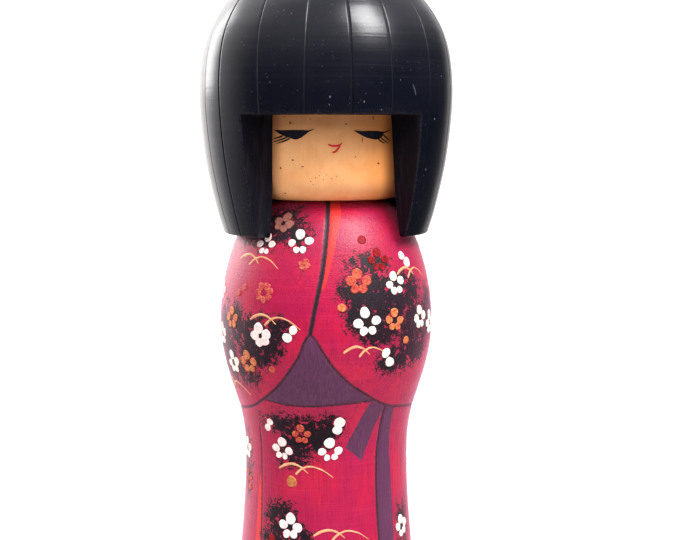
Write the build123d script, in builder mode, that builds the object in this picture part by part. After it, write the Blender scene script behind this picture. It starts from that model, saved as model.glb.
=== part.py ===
"""Kokeshi doll: a turned wooden doll with a hooded bob haircut, in four pieces.

Millimetres. +Z is up the turning axis, the origin is the centre of the flat base,
and the face looks along -Y.
"""

from build123d import *
import math
import os

# ---- Body: a solid turned kimono ----
base_radius = 37.0          # foot of the skirt
base_round = 1.5            # rounded edge of the foot
knee_radius = 32.9          # side of the skirt between foot and waist
knee_height = 46.0
skirt_lean = 0.10           # inward slope of the skirt's side at the foot
waist_radius = 31.0         # narrowest place
hem_radius = 33.9           # flank at the sleeves' lower edge
belly_radius = 40.2         # fullest place, across the sleeves
skirt_height = 80.0         # base to waist
hem_rise = 22.5             # waist to the sleeves' lower edge
sleeve_rise = 52.0          # waist to the fullest place
shoulder_rise = 47.0        # fullest place to the flat top
collar_radius = 22.0        # flat top that the head stands on

# ---- Neck peg: a dowel glued into the body, on which the head turns ----
peg_radius = 7.0
peg_in_body = 32.0          # length below the body's top
peg_in_head = 26.0          # length above the body's top
peg_chamfer = 1.0

# ---- Head: the bare-wood face block ----
head_radius = 33.0
head_height = 56.0          # chin to the top, hidden in the hood
chin_round = 9.0            # rounded lower edge

# ---- Hair hood: turned, hollowed from below and sawn open for the face ----
hair_drop = 13.0            # how far the hair hangs below the chin
rim_flare = 1.2             # the bore opens by this much towards the rim
rim_wall = 4.2              # thickness at the lower rim
flank_wall = 12.0           # thickness beside the eyes
full_wall = 14.4            # thickness at the fullest place
shoulder_wall = 9.8         # thickness where the crown begins to round over
flank_rise = 26.3           # rim to the flank
full_rise = 50.6            # rim to the fullest place
crown_rise = 46.0           # fullest place to the top of the crown
shoulder_drop = 19.5        # crown's top down to its shoulder
crown_edge_drop = 10.1      # crown's top down to where it flattens
crown_edge_inset = 6.5      # the outline comes in this much between the two
window_height = 30.7        # chin to the lower edge of the bangs
window_half_angle = 42.0    # each saw cut, from the middle of the face

# ---- Scored lines of hair, from the crown to the edge ----
groove_count = 18
groove_width = 0.7
groove_depth = 0.6
groove_start_radius = 9.0   # they stop short of the crown's centre

# ---- Clearances ----
glue_gap = 0.05             # around a glued piece
running_gap = 0.05          # radial play between the peg and the head's bore
chin_gap = 0.3              # between the head and the body's top
shoulder_gap = 1.2          # between the hood's rim and the body's shoulder
peg_end_gap = 1.0           # above the peg's end, inside the head

# ---- Levels that follow ----
waist_z = skirt_height
belly_z = waist_z + sleeve_rise
body_top_z = belly_z + shoulder_rise
chin_z = body_top_z + chin_gap
bangs_z = chin_z + window_height
head_top_z = chin_z + head_height
rim_z = chin_z - hair_drop
full_z = rim_z + full_rise
crown_z = full_z + crown_rise

# ---- Radii that follow ----
bore_radius = head_radius + glue_gap
rim_bore_radius = bore_radius + rim_flare
rim_radius = rim_bore_radius + rim_wall
full_radius = bore_radius + full_wall
crown_shoulder_radius = bore_radius + shoulder_wall
shoulder_radius = rim_bore_radius - shoulder_gap


def hood_outline(grow):
    """Draw the hood's outer outline, grown by a margin and closed along the axis, in a builder line."""
    Spline(
        (rim_radius + grow, rim_z),
        (bore_radius + flank_wall + grow, rim_z + flank_rise),
        (full_radius + grow, full_z),
        (crown_shoulder_radius + grow, crown_z - shoulder_drop + grow),
        (crown_shoulder_radius - crown_edge_inset + grow, crown_z - crown_edge_drop + grow),
        (0, crown_z + grow),
        tangents=[(rim_wall, flank_wall), (-1, 0)],
    )
    Polyline((0, crown_z + grow), (0, rim_z), (rim_radius + grow, rim_z))


# ---- Body ----
with BuildPart() as body:
    with BuildSketch(Plane.XZ):
        with BuildLine():
            Spline(
                (base_radius, 0),
                (knee_radius, knee_height),
                (waist_radius, waist_z),
                tangents=[(-skirt_lean, 1), (0, 1)],
            )
            Spline(
                (waist_radius, waist_z),
                (hem_radius, waist_z + hem_rise),
                (belly_radius, belly_z),
                tangents=[(0, 1), (0, 1)],
            )
            Spline(
                (belly_radius, belly_z),
                (shoulder_radius, rim_z),
                (collar_radius, body_top_z),
                tangents=[(0, 1), (-1, 0.4)],
            )
            Polyline((collar_radius, body_top_z), (0, body_top_z), (0, 0), (base_radius, 0))
        make_face()
    revolve(axis=Axis.Z)
    fillet(body.edges().group_by(Axis.Z)[0], base_round)
    with BuildSketch(Plane.XY.offset(body_top_z)):
        Circle(peg_radius + glue_gap)
    extrude(amount=-peg_in_body, mode=Mode.SUBTRACT)
body.part.label = "body"

# ---- Neck peg ----
with BuildPart() as neck_peg:
    with BuildSketch(Plane.XY.offset(body_top_z - peg_in_body)):
        Circle(peg_radius)
    extrude(amount=peg_in_body + peg_in_head)
    chamfer(neck_peg.edges().filter_by(GeomType.CIRCLE), peg_chamfer)
neck_peg.part.label = "neck_peg"

# ---- Head ----
with BuildPart() as head:
    with BuildSketch(Plane.XY.offset(chin_z)):
        Circle(head_radius)
    extrude(amount=head_height)
    fillet(head.edges().group_by(Axis.Z)[0], chin_round)
    with BuildSketch(Plane.XY.offset(chin_z)):
        Circle(peg_radius + running_gap)
    extrude(amount=peg_in_head - chin_gap + peg_end_gap, mode=Mode.SUBTRACT)
head.part.label = "head"

# ---- Hair hood ----
with BuildPart() as hair_hood:
    with BuildSketch(Plane.XZ):
        with BuildLine():
            hood_outline(0)
        make_face()
    revolve(axis=Axis.Z)

    # Scored lines along the meridians
    groove_planes = [
        Plane.XZ.rotated((0, 0, (index + 0.5) * 360 / groove_count))
        for index in range(groove_count)
    ]
    with BuildSketch(*groove_planes):
        with BuildLine():
            hood_outline(1)
        make_face()
        with BuildLine():
            hood_outline(-groove_depth)
        make_face(mode=Mode.SUBTRACT)
        with Locations((0, crown_z)):
            Rectangle(2 * groove_start_radius, 2 * crown_rise, mode=Mode.SUBTRACT)
    extrude(amount=groove_width / 2, both=True, mode=Mode.SUBTRACT)

    # Bore for the head, opening a little towards the rim
    with BuildSketch(Plane.XZ):
        with BuildLine():
            Polyline(
                (0, rim_z),
                (rim_bore_radius, rim_z),
                (bore_radius, chin_z),
                (bore_radius, head_top_z),
                (0, head_top_z),
                close=True,
            )
        make_face()
    revolve(axis=Axis.Z, mode=Mode.SUBTRACT)

    # Face window: two saw cuts up from the rim, and one across below the bangs
    reach = full_radius + 1
    cut_x = reach * math.sin(math.radians(window_half_angle))
    cut_y = -reach * math.cos(math.radians(window_half_angle))
    with BuildSketch(Plane.XY.offset(rim_z)):
        with BuildLine():
            Polyline(
                (0, 0),
                (-cut_x, cut_y),
                (-cut_x, -reach),
                (cut_x, -reach),
                (cut_x, cut_y),
                close=True,
            )
        make_face()
    extrude(amount=bangs_z - rim_z, mode=Mode.SUBTRACT)
hair_hood.part.label = "hair_hood"

# ---- Files ----
os.makedirs("parts", exist_ok=True)
export_step(body.part, "parts/body.step")
export_step(neck_peg.part, "parts/neck_peg.step")
export_step(head.part, "parts/head.step")
export_step(hair_hood.part, "parts/hair_hood.step")
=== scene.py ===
"""Kokeshi doll: the looks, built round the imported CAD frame.

The doll and the floor are laid out in millimetres and degrees, and turned into metres when a mesh
is made. The camera and the lamps are in metres.
An angle is measured round the turning axis from the middle of the face (which looks along -Y)
towards +X, unless a comment says that it is measured from the kimono's own front.
"""

import math

import bmesh
import bpy
import numpy as np
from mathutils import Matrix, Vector


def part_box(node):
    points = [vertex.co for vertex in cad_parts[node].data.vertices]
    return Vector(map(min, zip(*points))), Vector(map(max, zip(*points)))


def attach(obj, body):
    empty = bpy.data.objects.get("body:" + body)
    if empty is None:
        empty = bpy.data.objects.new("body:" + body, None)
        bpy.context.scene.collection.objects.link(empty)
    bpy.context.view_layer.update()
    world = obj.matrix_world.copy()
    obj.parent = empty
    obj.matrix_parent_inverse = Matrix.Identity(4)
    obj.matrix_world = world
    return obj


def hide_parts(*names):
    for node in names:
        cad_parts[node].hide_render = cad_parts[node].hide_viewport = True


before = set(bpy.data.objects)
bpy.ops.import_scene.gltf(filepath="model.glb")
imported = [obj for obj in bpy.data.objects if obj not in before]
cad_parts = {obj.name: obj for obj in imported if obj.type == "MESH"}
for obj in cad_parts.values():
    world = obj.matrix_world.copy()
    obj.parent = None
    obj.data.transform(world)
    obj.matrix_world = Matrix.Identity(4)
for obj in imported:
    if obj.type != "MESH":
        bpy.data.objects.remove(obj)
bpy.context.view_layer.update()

MM = 0.001
random = np.random.default_rng(7)

# ---- Levels read from the frame, in mm ----
BODY_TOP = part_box("body")[1].z / MM
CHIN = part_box("head")[0].z / MM
HEAD_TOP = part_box("head")[1].z / MM
HEAD_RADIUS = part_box("head")[1].x / MM
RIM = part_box("hair_hood")[0].z / MM
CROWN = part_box("hair_hood")[1].z / MM
PEG_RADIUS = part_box("neck_peg")[1].x / MM
PEG_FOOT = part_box("neck_peg")[0].z / MM
PEG_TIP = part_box("neck_peg")[1].z / MM

# ---- Sizes that the CAD model shares, in mm ----
FOOT_RADIUS = 37.0
NECK_RADIUS = 22.0
BASE_ROUND = 1.5
WAIST = 80.0
FULLEST = 132.0
RUNNING_GAP = 0.05
CHIN_ROUND = 9.0
BANGS = CHIN + 30.7
BORE_RADIUS = HEAD_RADIUS + 0.05
RIM_BORE_RADIUS = BORE_RADIUS + 1.2

# The kimono has turned this far on its peg from the face's direction.
KIMONO_TURN = -10.0

# Where the body's mesh is divided in two, just under the sleeves' hem.
DIVIDE = 99.0


# =====================================================================
# Outlines and meshes
# =====================================================================

def run_along(points):
    """How far each point of a path lies from its first, along the path."""
    return np.r_[0, np.cumsum(np.linalg.norm(np.diff(points, axis=0), axis=1))]


def smooth_outline(keys, step):
    """Evenly spaced points on a smooth curve through the key points, which are (radius, height)."""
    keys = np.array(keys, float)
    run = run_along(keys)
    slope = np.gradient(keys, run, axis=0)
    at = np.linspace(0, run[-1], max(2, int(round(run[-1] / step))) + 1)
    left = np.clip(np.searchsorted(run, at, side="right") - 1, 0, len(run) - 2)
    span = (run[left + 1] - run[left])[:, None]
    t = (at - run[left])[:, None] / span
    return (
        (2 * t**3 - 3 * t**2 + 1) * keys[left]
        + (t**3 - 2 * t**2 + t) * span * slope[left]
        + (3 * t**2 - 2 * t**3) * keys[left + 1]
        + (t**3 - t**2) * span * slope[left + 1]
    )


def arc(centre, radius, start, end, steps):
    """Points on an arc in the outline's plane, from one angle to the other in degrees."""
    a = np.radians(np.linspace(start, end, steps + 1))
    return np.stack([centre[0] + radius * np.cos(a), centre[1] + radius * np.sin(a)], 1)


def line(start, end, steps):
    """Points on a straight stretch of outline."""
    return np.linspace(start, end, steps + 1)


def spaced(low, high, step):
    """Even steps from low to high, both included."""
    return np.linspace(low, high, max(1, int(round((high - low) / step))) + 1)


def around(radius, angle, height):
    """Points in mm at these radii, angles in degrees from the face, and heights."""
    a = np.radians(angle)
    return np.stack(np.broadcast_arrays(radius * np.sin(a), -radius * np.cos(a), height), -1)


def make_object(name, points, faces, materials):
    """A smooth-shaded mesh object from points in mm."""
    mesh = bpy.data.meshes.new(name)
    mesh.from_pydata((np.asarray(points) * MM).tolist(), [], [list(map(int, f)) for f in faces])
    mesh.validate()
    for material in materials:
        mesh.materials.append(material)
    mesh.polygons.foreach_set("use_smooth", np.full(len(mesh.polygons), True))
    piece = bpy.data.objects.new(name, mesh)
    bpy.context.collection.objects.link(piece)
    return piece


def add_field(piece, name, values):
    """Stores one number for each point, for the material to read."""
    field = piece.data.attributes.new(name, "FLOAT", "POINT")
    field.data.foreach_set("value", np.asarray(values, np.float32))


def ring_faces(rows, columns):
    """Quads between neighbouring rows of points that each run once round the axis."""
    start = (np.arange(rows - 1) * columns)[:, None]
    here = np.arange(columns)[None, :]
    after = (here + 1) % columns
    return np.stack(
        [start + here, start + after, start + columns + after, start + columns + here], -1
    ).reshape(-1, 4)


def closed_rings(grid, foot, tip):
    """Points and faces of a stack of rings, closed by fans to the axis at the foot and the tip."""
    rows, columns = grid.shape[:2]
    points = np.vstack([grid.reshape(-1, 3), [(0, 0, foot), (0, 0, tip)]])
    faces = ring_faces(rows, columns).tolist()
    end = rows * columns
    last = end - columns
    for k in range(columns):
        after = (k + 1) % columns
        faces.append((end, after, k))
        faces.append((end + 1, last + k, last + after))
    return points, faces


def turned(name, outline, columns, material, start=-180):
    """A solid of revolution whose outline starts and ends on the axis."""
    inner = np.asarray(outline)[1:-1]
    angles = np.linspace(start, start + 360, columns, endpoint=False)
    grid = around(inner[:, :1], angles[None, :], inner[:, 1:])
    return make_object(name, *closed_rings(grid, outline[0][1], outline[-1][1]), [material])


# =====================================================================
# Surfaces that paint lies on
# =====================================================================

BODY_SIDE = smooth_outline(
    [
        (FOOT_RADIUS, 0), (34.8, 22), (32.95, 46), (31.45, 66), (31.0, WAIST), (31.4, 91),
        (32.75, 98.8), (35.4, 107.5), (38.3, 117.5), (39.85, 126), (40.2, FULLEST),
        (39.3, 145.2), (36.85, 156.2), (33.1, 166.3), (28.2, 174), (NECK_RADIUS, BODY_TOP),
    ],
    0.2,
)


class Surface:
    """A turned surface, seen as a flat sheet: mm along the girth, and mm along the outline."""

    def __init__(self, outline, turn):
        self.radii, self.heights = outline.T
        self.run = run_along(outline)
        self.turn = turn

    def at(self, run):
        """Radius and height at a distance along the outline."""
        return np.interp(run, self.run, self.radii), np.interp(run, self.run, self.heights)

    def place(self, angle, height, across, up, lift):
        """The point that lies across and up in mm from (angle, height), lifted off the wood."""
        run = np.interp(height, self.heights, self.run) + up
        radius, level = self.at(run)
        radius_ahead, ahead = self.at(run + 0.5)
        radius_behind, behind = self.at(run - 0.5)
        length = np.hypot(ahead - behind, radius_ahead - radius_behind) + 1e-9
        outward = (ahead - behind) / length
        upward = -(radius_ahead - radius_behind) / length
        turn = self.turn + angle + np.degrees(across / radius)
        return around(radius + lift * outward, turn, level + lift * upward)


KIMONO = Surface(BODY_SIDE, KIMONO_TURN)
FACE = Surface(
    np.vstack([
        arc((HEAD_RADIUS - CHIN_ROUND, CHIN + CHIN_ROUND), CHIN_ROUND, -90, 0, 24),
        line((HEAD_RADIUS, CHIN + CHIN_ROUND + 0.01), (HEAD_RADIUS, HEAD_TOP), 80),
    ]),
    0.0,
)


# =====================================================================
# Materials
# =====================================================================

def rgb(red, green, blue):
    """A linear colour from the 0 to 255 numbers of a screen colour."""
    screen = np.array([red, green, blue]) / 255
    linear = np.where(screen <= 0.04045, screen / 12.92, ((screen + 0.055) / 1.055) ** 2.4)
    return (*linear.tolist(), 1.0)


class Nodes:
    """Short ways to add nodes to one tree. A value is a number, a colour or a node's output."""

    def __init__(self, tree):
        self.tree = tree

    def feed(self, socket, value):
        if isinstance(value, bpy.types.NodeSocket):
            self.tree.links.new(value, socket)
        else:
            socket.default_value = value

    def add(self, kind, inputs=None, **settings):
        node = self.tree.nodes.new("ShaderNode" + kind)
        for name, value in settings.items():
            setattr(node, name, value)
        for name, value in (inputs or {}).items():
            self.feed(node.inputs[name], value)
        return node

    def sums(self, operation, first, second=0.0):
        node = self.add("Math", operation=operation)
        self.feed(node.inputs[0], first)
        self.feed(node.inputs[1], second)
        return node.outputs[0]

    def plus(self, value, more, times=1):
        """value + more * times."""
        return self.sums("ADD", value, more if times == 1 else self.sums("MULTIPLY", more, times))

    def step(self, value, low, high, start=0, end=1):
        """start below low, end above high, and smooth between."""
        wanted = {"Value": value, "From Min": low, "From Max": high, "To Min": start, "To Max": end}
        return self.add("MapRange", wanted, interpolation_type="SMOOTHSTEP").outputs[0]


class Finish(Nodes):
    """A node material round one Principled shader."""

    def __init__(self, name, **uniform):
        self.material = bpy.data.materials.new(name)
        self.material.use_nodes = True
        super().__init__(self.material.node_tree)
        self.shader = self.tree.nodes["Principled BSDF"]
        self.place = self.add("TexCoord").outputs["Object"]
        for socket, value in uniform.items():
            self.shader.inputs[socket.replace("_", " ")].default_value = value

    def finished(self, colour, rough, normal):
        """The material, once these three feed its shader."""
        for socket, value in (("Base Color", colour), ("Roughness", rough), ("Normal", normal)):
            self.feed(self.shader.inputs[socket], value)
        return self.material

    def field(self, name):
        return self.add("Attribute", attribute_name=name).outputs["Fac"]

    def noise(self, size, detail=2.0, stretch=(1, 1, 1), distortion=0.0, seed=0.0):
        """Noise from 0 to 1 with lumps of about size mm, drawn out along the stretched axes."""
        scale = tuple(1 / (size * MM * s) for s in stretch)
        mapping = self.add(
            "Mapping", {"Vector": self.place, "Scale": scale, "Location": (seed, seed * 2, seed * 3)}
        )
        wanted = {"Vector": mapping.outputs[0], "Scale": 1.0, "Detail": detail, "Distortion": distortion}
        return self.add("TexNoise", wanted).outputs["Fac"]

    def scaled(self, value, low, high):
        """A number from 0 to 1 spread over the range from low to high."""
        wanted = {"Value": value, "To Min": low, "To Max": high}
        return self.add("MapRange", wanted, clamp=False).outputs[0]

    def mix(self, share, under, over, most=1):
        """One colour over another, where share is 1, and there at most this much of it."""
        if most != 1:
            share = self.sums("MULTIPLY", share, most)
        node = self.add("Mix", data_type="RGBA")
        self.feed(node.inputs["Factor"], share)
        self.feed(node.inputs[6], under)
        self.feed(node.inputs[7], over)
        return node.outputs[2]

    def bump(self, height, depth, normal=None):
        """Raises the surface by up to depth mm where height is 1."""
        wanted = {"Height": height, "Distance": depth * MM, "Strength": 1.0}
        if normal is not None:
            wanted["Normal"] = normal
        return self.add("Bump", wanted).outputs[0]


def turning_lines(paint, size):
    """Fine rings that the lathe tool leaves round the axis."""
    return paint.noise(size, 3.0, stretch=(60, 60, 1), seed=2)


def upright_grain(paint, size):
    """Fine streaks along the grain, which runs up the doll."""
    return paint.noise(size, 3.0, stretch=(1, 1, 40), seed=5)


def kimono_finish():
    """Crimson satin paint, with the other colours where the fields put them."""
    paint = Finish(
        "kimono_paint", Coat_Weight=0.06, Coat_Roughness=0.25, Specular_IOR_Level=0.38,
        Sheen_Weight=0.4, Sheen_Roughness=0.4, Sheen_Tint=rgb(255, 176, 206),
    )
    grain = upright_grain(paint, 0.6)
    rings = turning_lines(paint, 0.45)
    cloud = paint.noise(14, 3.0, seed=1)
    fine = paint.noise(0.45, 4.0, seed=3)
    lumps = paint.noise(1.7, 3.0, distortion=0.6, seed=4)

    crimson = paint.mix(paint.step(cloud, 0.35, 0.7), rgb(168, 8, 66), rgb(188, 10, 58))
    crimson = paint.mix(paint.step(grain, 0.45, 0.75), crimson, rgb(148, 8, 60))
    crimson = paint.mix(paint.step(rings, 0.5, 0.8), crimson, rgb(206, 34, 84), 0.45)

    wobble = paint.scaled(lumps, -0.35, 0.35)
    orange = paint.step(paint.plus(paint.field("orange"), wobble), -0.08, 0.12)
    colour = paint.mix(orange, crimson, rgb(216, 46, 44))
    plum = paint.step(paint.plus(paint.field("plum"), wobble), -0.08, 0.12)
    plum_tone = paint.mix(paint.step(grain, 0.35, 0.7), rgb(84, 42, 74), rgb(98, 52, 84))
    colour = paint.mix(plum, colour, plum_tone)

    # Black dabbed on with a sponge: dense inside each patch, breaking up at its edge
    clumps = paint.scaled(paint.noise(2.0, 3.0, distortion=0.6, seed=12), -4.2, 4.2)
    specks = paint.scaled(paint.noise(0.5, 5.0, distortion=0.5, seed=14), -5.6, 5.6)
    depth = paint.sums("MINIMUM", paint.sums("MULTIPLY", paint.field("sponge"), 0.9), 3.5)
    gaps = paint.step(paint.noise(2.6, 3.0, distortion=0.8, seed=17), 0.56, 0.68)
    depth = paint.sums("SUBTRACT", depth, paint.sums("MULTIPLY", gaps, 4.2))
    amount = paint.plus(paint.plus(depth, clumps), specks)
    sponge = paint.step(amount, -0.1, 1.3)
    black = paint.mix(paint.step(fine, 0.5, 0.8), rgb(22, 12, 22), rgb(58, 30, 48))
    colour = paint.mix(sponge, colour, black)

    # Lines scratched into the wood and rubbed with a dark stain
    ragged = paint.scaled(paint.noise(0.6, 4.0, seed=6), -0.6, 0.6)
    near = paint.plus(paint.field("line"), ragged)
    scratch = paint.sums("SUBTRACT", 1.0, paint.step(near, -0.1, 0.12))
    core = paint.sums("SUBTRACT", 1.0, paint.step(near, -0.55, -0.2))
    stain = paint.mix(core, rgb(84, 34, 56), rgb(38, 20, 32))
    colour = paint.mix(scratch, colour, stain)

    bare = paint.field("bare")
    wood = paint.mix(paint.step(grain, 0.3, 0.7), rgb(214, 176, 126), rgb(190, 148, 98))
    colour = paint.mix(bare, colour, wood)

    rough = paint.scaled(cloud, 0.34, 0.44)
    rough = paint.plus(rough, sponge, 0.12)
    rough = paint.plus(rough, scratch, 0.15)
    rough = paint.plus(rough, bare, 0.2)

    normal = paint.bump(grain, 0.07)
    normal = paint.bump(rings, 0.05, normal)
    normal = paint.bump(fine, 0.15, normal)
    normal = paint.bump(sponge, 0.05, normal)
    return paint.finished(colour, rough, normal)


def hair_finish():
    """Semi-gloss black with the lathe's rings, dust, rubbed edges and painted shade in the bottoms of the
    carved lines.
    """
    paint = Finish("hair_paint", Coat_Weight=0.1, Coat_Roughness=0.22, Specular_IOR_Level=0.34)
    rings = turning_lines(paint, 0.5)
    broad = turning_lines(paint, 3.0)
    cloud = paint.noise(18, 3.0, seed=1)
    fine = paint.noise(0.5, 3.0, seed=3)
    dust = paint.step(paint.noise(0.42, 1.0, seed=9), 0.775, 0.80)
    colour = paint.mix(paint.step(cloud, 0.3, 0.75), rgb(5, 8, 20), rgb(14, 15, 26))
    colour = paint.mix(paint.step(rings, 0.55, 0.8), colour, rgb(24, 25, 38), 0.5)
    worn = paint.sums("MULTIPLY", paint.field("edge"), paint.step(fine, 0.35, 0.62))
    colour = paint.mix(worn, colour, rgb(58, 56, 66), 0.45)
    # Painted shade in the bottoms of the carved lines
    colour = paint.mix(paint.field("groove_shade"), colour, rgb(4, 4, 6), 0.55)
    colour = paint.mix(dust, colour, rgb(170, 170, 175), 0.6)
    rough = paint.scaled(cloud, 0.22, 0.3)
    rough = paint.plus(rough, paint.field("groove_shade"), 0.35)
    rough = paint.plus(rough, worn, 0.3)
    normal = paint.bump(rings, 0.03)
    normal = paint.bump(broad, 0.12, normal)
    normal = paint.bump(fine, 0.012, normal)
    return paint.finished(colour, rough, normal)


def sawn_finish():
    """Black-stained wood as the saw left it: matte, with upright fibres."""
    paint = Finish("sawn_wood", Specular_IOR_Level=0.25)
    fibre = paint.noise(0.5, 4.0, stretch=(1, 1, 26), seed=1)
    coarse = paint.noise(1.6, 3.0, stretch=(1, 1, 14), seed=2)
    colour = paint.mix(paint.step(fibre, 0.35, 0.7), rgb(6, 9, 20), rgb(18, 18, 30))
    colour = paint.mix(paint.step(coarse, 0.5, 0.75), colour, rgb(44, 39, 46), 0.5)
    specks = paint.step(paint.noise(0.4, 1.0, seed=5), 0.76, 0.8)
    colour = paint.mix(specks, colour, rgb(140, 130, 130), 0.5)
    normal = paint.bump(coarse, 0.25, paint.bump(fibre, 0.2))
    return paint.finished(colour, paint.scaled(fibre, 0.6, 0.85), normal)


def face_finish():
    """Honey-coloured wood under clear satin varnish, with fine grain and rays, and painted light and shade:
    darker at its edges and top, warmer on its +X side.
    """
    paint = Finish("face_wood", Coat_Weight=0.4, Coat_Roughness=0.2, Subsurface_Weight=0.06)
    paint.shader.inputs["Subsurface Radius"].default_value = (0.004, 0.002, 0.001)
    grain = paint.noise(0.7, 4.0, stretch=(1, 1, 34), seed=1)
    broad = paint.noise(9.0, 2.0, stretch=(1, 1, 1.3), distortion=0.6, seed=2)
    speckle = paint.noise(0.5, 3.0, seed=7)
    rays = paint.noise(0.35, 2.0, stretch=(1.6, 1.6, 5), seed=3)
    side, _, up = paint.add("SeparateXYZ", {"Vector": paint.place}).outputs
    colour = paint.mix(paint.step(broad, 0.2, 0.8), rgb(248, 186, 128), rgb(236, 164, 104))
    # Painted warm light, growing towards the face's +X side
    painted_warm_light = paint.step(side, 0.0, 0.024)
    colour = paint.mix(painted_warm_light, colour, rgb(226, 136, 56), 0.75)
    # Painted shadow of the bangs, darkening the top of the face
    painted_bangs_shadow = paint.step(up, 0.197, 0.212)
    colour = paint.mix(painted_bangs_shadow, colour, rgb(190, 112, 62), 0.5)
    # Painted shade at the face's edges, where the hood's walls shade it
    shaded = paint.step(paint.sums("ABSOLUTE", side), 0.017, 0.022)
    colour = paint.mix(shaded, colour, rgb(112, 60, 34), 0.75)
    colour = paint.mix(paint.step(grain, 0.45, 0.75), colour, rgb(202, 134, 82), 0.12)
    colour = paint.mix(paint.step(speckle, 0.5, 0.8), colour, rgb(206, 132, 80), 0.3)
    colour = paint.mix(paint.step(rays, 0.6, 0.8), colour, rgb(190, 120, 70), 0.25)
    normal = paint.bump(rays, 0.02, paint.bump(grain, 0.05))
    return paint.finished(colour, paint.scaled(grain, 0.34, 0.46), normal)


def dab_finish(name, main, other, rough=0.4, size=1.2, flecks=0.0, gloss=0.4):
    """Thick brushed paint whose colour drifts from dab to dab.

    flecks lets crimson show through, and gloss is how strongly the paint shines.
    """
    paint = Finish(name, Coat_Weight=0.2 * gloss, Specular_IOR_Level=gloss)
    drift = paint.noise(size, 3.0, seed=1)
    fine = paint.noise(0.35, 3.0, seed=4)
    colour = paint.mix(paint.step(drift, 0.35, 0.65), main, other)
    if flecks:
        worn = paint.step(paint.noise(0.8, 4.0, seed=8), 0.62 - 0.3 * flecks, 0.72 - 0.2 * flecks)
        colour = paint.mix(worn, colour, rgb(172, 14, 56))
    normal = paint.bump(fine, 0.04, paint.bump(drift, 0.06))
    return paint.finished(colour, paint.scaled(fine, rough - 0.06, rough + 0.08), normal)


def grained_finish(name, light, dark):
    """Matte wood, bare or stained, with upright grain between two tones."""
    paint = Finish(name)
    grain = paint.noise(0.7, 4.0, stretch=(1, 1, 30), seed=1)
    colour = paint.mix(paint.step(grain, 0.35, 0.7), light, dark)
    normal = paint.bump(grain, 0.08)
    return paint.finished(colour, paint.scaled(grain, 0.5, 0.7), normal)


# =====================================================================
# Kimono
# =====================================================================
# Angles here are from the kimono's own front.

def smooth_path(keys):
    """A smooth path over the kimono through (angle, height) keys."""
    return smooth_outline(keys, 1.5)


HEM_LEVEL = 100.3
COLLAR_LINE = [(7.3, 179), (5, 163), (3, 153)]
SEAM_LINE = [(43.8, 105), (43.2, 97.5), (42, 85.4), (42, 71), (42.7, 54), (43.3, 30), (44, -1)]

# Lines scratched into the wood: key points, half width in mm
OPENING_EDGE = smooth_path([*COLLAR_LINE, (0, 143), (-2.6, 133)])
LEFT_EDGE = smooth_path([
    (-2.6, 133), (-4.6, 131.5), (-8.5, 125.3), (-13.6, 120), (-21.5, 113.8), (-32.4, 108.4),
    (-42, 104.8), (-57, 101.9), (-78, HEM_LEVEL),
])
RIGHT_EDGE = smooth_path([
    (-2.6, 133), (-0.8, 131.8), (3.8, 126.6), (9.8, 120.6), (18, 115), (29.2, 110), (40.4, 106),
    (51, 104), (64, 102.8), (84, HEM_LEVEL + 0.6),
])
BACK_HEM = smooth_path([(84, HEM_LEVEL + 0.6), (130, HEM_LEVEL - 0.3), (190, HEM_LEVEL), (282, HEM_LEVEL)])
WAIST_LINE = smooth_path([(-34.5, 107.4), (-19, 106.3), (-3.5, 106.2), (12, 106.8), (33.5, 107.6)])
RIGHT_SEAM = smooth_path(SEAM_LINE)
LEFT_SEAM = smooth_path([(-44.6, 95.5), (-44.8, 74.4), (-43, 52.7), (-42.6, 30), (-42, -1)])
SCRATCHES = [
    (OPENING_EDGE, 0.9), (LEFT_EDGE, 0.52), (RIGHT_EDGE, 0.52), (BACK_HEM, 0.48),
    (WAIST_LINE, 0.42), (RIGHT_SEAM, 0.6), (LEFT_SEAM, 0.36),
]

# Outlines of the flat plum and orange-red areas
UNDER_KIMONO = np.vstack([
    LEFT_EDGE[LEFT_EDGE[:, 0] > -35], WAIST_LINE, RIGHT_EDGE[RIGHT_EDGE[:, 0] < 34][::-1],
])
HANGING_RIBBON = [(33.2, 107.8), (43.6, 104.5), (30.0, 84.6), (18.2, 90.2)]
SIDE_BAND = [*SEAM_LINE, (58, -1), (57.4, 30), (56.6, 52), (56.6, 74), (52.9, 94), (52.8, 104)]
COLLAR_EDGE = [
    *COLLAR_LINE, (1.9, 149), (3.8, 148.2), (6, 152), (9.5, 160.4), (12.8, 168), (17.2, 175), (18.6, 179.5),
]
LINING_EDGE = [
    (-45.6, 80), (-48.5, 72), (-49.6, 52), (-50.4, 30), (-51, -1),
    (-43, -1), (-43.5, 30), (-44, 52), (-45, 70),
]

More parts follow.
